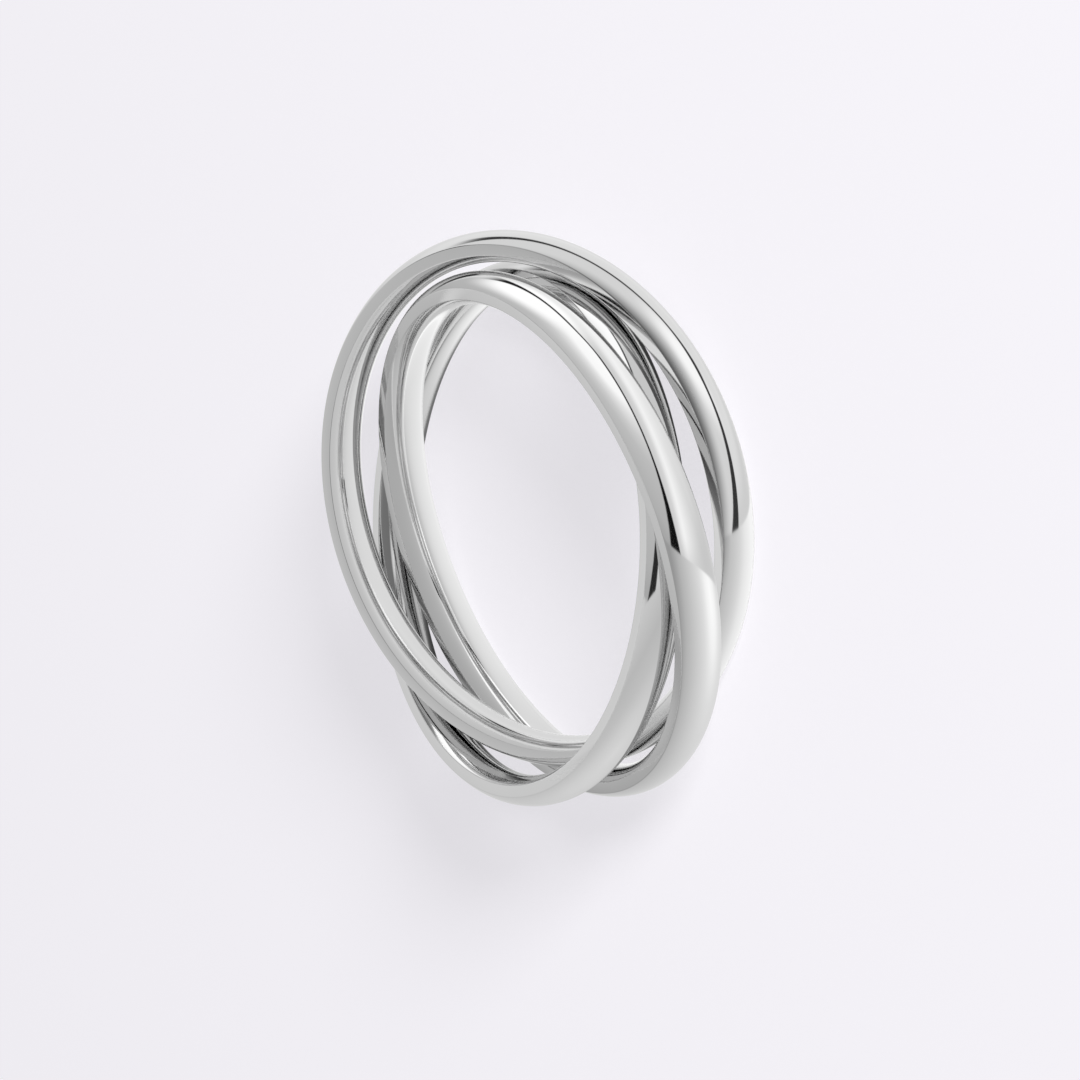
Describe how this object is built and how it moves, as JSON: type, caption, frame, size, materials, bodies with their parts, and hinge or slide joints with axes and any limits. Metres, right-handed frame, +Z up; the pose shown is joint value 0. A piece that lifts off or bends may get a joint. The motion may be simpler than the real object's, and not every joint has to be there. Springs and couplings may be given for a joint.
{
  "type": "rolling ring",
  "caption": "Rolling ring: plain, domed, highly polished finger bands linked through one another, each free to spin, lying on its side.",
  "frame": {"origin": "on the surface that the ring lies on, under the middle of its bounding box", "axes": "+Z up, through the finger hole as the ring lies on its side; the picture's camera looks along +Y and down"},
  "size_m": [0.0218, 0.0218, 0.0058],
  "materials": {
    "silver": "high polish"
  },
  "bodies": {
    "upper_band": {"upper_band": "silver"},
    "middle_band": {"middle_band": "silver"},
    "lower_band": {"lower_band": "silver"}
  },
  "joints": [
    {"name": "upper_band_spin", "type": "hinge", "parent": "middle_band", "child": "upper_band", "pos_m": [0.00066, -0.00003, 0.00261], "axis": [-0.075, -0.1586, 0.9845], "continuous": true},
    {"name": "lower_band_spin", "type": "hinge", "parent": "middle_band", "child": "lower_band", "pos_m": [-0.00045, 0.00066, 0.00276], "axis": [0.1619, 0.1015, 0.9816], "continuous": true}
  ]
}
